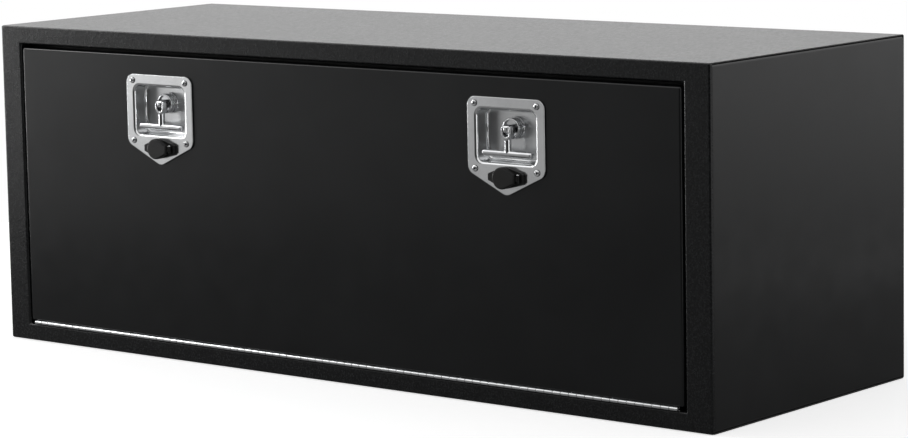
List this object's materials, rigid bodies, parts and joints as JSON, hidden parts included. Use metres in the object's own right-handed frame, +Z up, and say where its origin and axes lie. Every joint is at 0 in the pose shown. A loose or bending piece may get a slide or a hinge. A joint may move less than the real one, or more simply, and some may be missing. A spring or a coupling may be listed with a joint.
{
  "type": "underbody truck tool box",
  "caption": "Wide black steel underbody tool box for a truck, with a drop-down front door on a bottom piano hinge and two flush stainless T-handle latches.",
  "frame": {"origin": "middle of the body's underside", "axes": "+X to the right as seen from the front, -Y out of the door, +Z up"},
  "size_m": [1.2192, 0.4547, 0.45],
  "materials": {
    "black_powder_coat": "satin black powder coat with a fine orange peel",
    "stainless": "bright stainless",
    "zinc": "zinc plated",
    "rubber": "matte",
    "black_plastic": "matte black"
  },
  "bodies": {
    "body": {"body_wrap": "black_powder_coat", "left_end_panel": "black_powder_coat", "right_end_panel": "black_powder_coat", "door_frame": "black_powder_coat", "door_seal": "rubber", "hinge_frame_leaf": "stainless", "hinge_pin": "stainless"},
    "door": {"door_panel": "black_powder_coat", "hinge_door_leaf": "stainless", "left_latch_plate": "stainless", "left_latch_gasket": "rubber", "left_latch_screw_1": "stainless", "left_latch_screw_2": "stainless", "left_latch_screw_3": "stainless", "left_latch_screw_4": "stainless", "left_spindle_bush": "zinc", "left_lock_cylinder": "stainless", "left_lock_cover_base": "black_plastic", "left_lock_cap_pin": "stainless", "right_latch_plate": "stainless", "right_latch_gasket": "rubber", "right_latch_screw_1": "stainless", "right_latch_screw_2": "stainless", "right_latch_screw_3": "stainless", "right_latch_screw_4": "stainless", "right_spindle_bush": "zinc", "right_lock_cylinder": "stainless", "right_lock_cover_base": "black_plastic", "right_lock_cap_pin": "stainless"},
    "left_spindle_set": {"left_spindle": "stainless", "left_pivot_pin": "stainless", "left_cam": "zinc", "left_cam_washer": "zinc", "left_cam_nut": "zinc"},
    "left_handle": {"left_t_handle": "stainless"},
    "left_cap": {"left_lock_cap": "black_plastic"},
    "left_key_set": {"left_key_plug": "stainless", "left_lock_tail": "zinc"},
    "right_spindle_set": {"right_spindle": "stainless", "right_pivot_pin": "stainless", "right_cam": "zinc", "right_cam_washer": "zinc", "right_cam_nut": "zinc"},
    "right_handle": {"right_t_handle": "stainless"},
    "right_cap": {"right_lock_cap": "black_plastic"},
    "right_key_set": {"right_key_plug": "stainless", "right_lock_tail": "zinc"}
  },
  "joints": [
    {"name": "door_hinge", "type": "hinge", "parent": "body", "child": "door", "pos_m": [0, -0.22, 0.0264], "axis": [1, 0, 0], "range_deg": [0, 90]},
    {"name": "left_spindle_turn", "type": "hinge", "parent": "door", "child": "left_spindle_set", "pos_m": [-0.2983, -0.2227, 0.3535], "axis": [0, -1, 0], "range_deg": [0, 90]},
    {"name": "left_handle_fold", "type": "hinge", "parent": "left_spindle_set", "child": "left_handle", "pos_m": [-0.2983, -0.2182, 0.3535], "axis": [-1, 0, 0], "range_deg": [0, 90]},
    {"name": "left_cap_flip", "type": "hinge", "parent": "door", "child": "left_cap", "pos_m": [-0.2738, -0.2305, 0.2929], "axis": [0, 0, 1], "range_deg": [0, 110]},
    {"name": "left_key_turn", "type": "hinge", "parent": "door", "child": "left_key_set", "pos_m": [-0.2983, -0.2227, 0.2929], "axis": [0, -1, 0], "range_deg": [0, 90]},
    {"name": "right_spindle_turn", "type": "hinge", "parent": "door", "child": "right_spindle_set", "pos_m": [0.3017, -0.2227, 0.3535], "axis": [0, -1, 0], "range_deg": [0, 90]},
    {"name": "right_handle_fold", "type": "hinge", "parent": "right_spindle_set", "child": "right_handle", "pos_m": [0.3017, -0.2182, 0.3535], "axis": [-1, 0, 0], "range_deg": [0, 90]},
    {"name": "right_cap_flip", "type": "hinge", "parent": "door", "child": "right_cap", "pos_m": [0.3262, -0.2305, 0.2929], "axis": [0, 0, 1], "range_deg": [0, 110]},
    {"name": "right_key_turn", "type": "hinge", "parent": "door", "child": "right_key_set", "pos_m": [0.3017, -0.2227, 0.2929], "axis": [0, -1, 0], "range_deg": [0, 90]}
  ],
  "couplings": [
    {"joint": "left_handle_fold", "follows": "left_spindle_turn", "ratio": 1},
    {"joint": "right_handle_fold", "follows": "right_spindle_turn", "ratio": 1}
  ]
}
